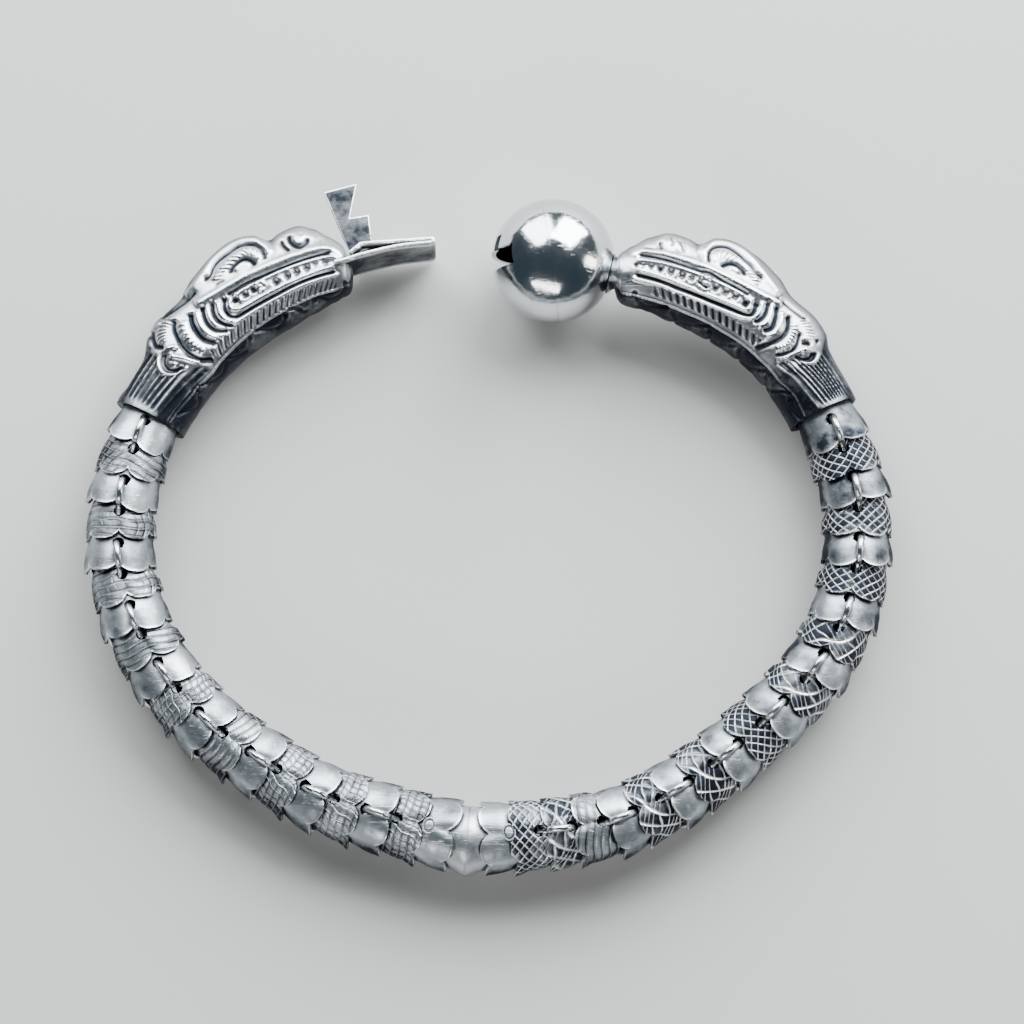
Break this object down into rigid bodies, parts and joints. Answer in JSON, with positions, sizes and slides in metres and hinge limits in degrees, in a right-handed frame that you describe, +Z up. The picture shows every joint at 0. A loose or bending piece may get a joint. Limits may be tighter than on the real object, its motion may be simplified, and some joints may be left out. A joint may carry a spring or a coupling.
{
  "type": "articulated bracelet",
  "caption": "Articulated bracelet of scalloped tube links wired end to end between cast beast heads, fastened by a spring tongue that enters a slotted ball.",
  "frame": {"origin": "centre of the bracelet's outline, on the table that it lies on", "axes": "+Z up through the wrist opening, +Y from the middle of the chain towards the clasp, +X towards the head that carries the ball"},
  "size_m": [0.0922, 0.0798, 0.0142],
  "materials": {
    "cast_silver": "cast relief, darkened in its hollows and rubbed bright on top",
    "link_silver": "thin sheet, one band of each link engraved, darkened under its edges",
    "wire_silver": "drawn wire, worn smooth",
    "plain_silver": "plain, fine scratches",
    "polished_silver": "polished, small dents and scratches"
  },
  "bodies": {
    "root": {"head_left": "cast_silver", "head_right": "cast_silver", "collar_left": "link_silver", "collar_right": "link_silver", "centre_tube": "plain_silver", "rivets": "plain_silver", "clasp_tongue": "plain_silver", "clasp_ball": "polished_silver", "link_left_1": "link_silver", "link_left_2": "link_silver", "link_left_3": "link_silver", "link_left_4": "link_silver", "link_left_5": "link_silver", "link_left_6": "link_silver", "link_left_7": "link_silver", "link_left_8": "link_silver", "link_left_9": "link_silver", "link_right_1": "link_silver", "link_right_2": "link_silver", "link_right_3": "link_silver", "link_right_4": "link_silver", "link_right_5": "link_silver", "link_right_6": "link_silver", "link_right_7": "link_silver", "link_right_8": "link_silver", "link_right_9": "link_silver", "link_right_10": "link_silver", "staple_left_1": "wire_silver", "staple_left_2": "wire_silver", "staple_left_3": "wire_silver", "staple_left_4": "wire_silver", "staple_left_5": "wire_silver", "staple_left_6": "wire_silver", "staple_left_7": "wire_silver", "staple_left_8": "wire_silver", "staple_left_9": "wire_silver", "staple_right_1": "wire_silver", "staple_right_2": "wire_silver", "staple_right_3": "wire_silver", "staple_right_4": "wire_silver", "staple_right_5": "wire_silver", "staple_right_6": "wire_silver", "staple_right_7": "wire_silver", "staple_right_8": "wire_silver", "staple_right_9": "wire_silver", "staple_right_10": "wire_silver"}
  },
  "joints": []
}
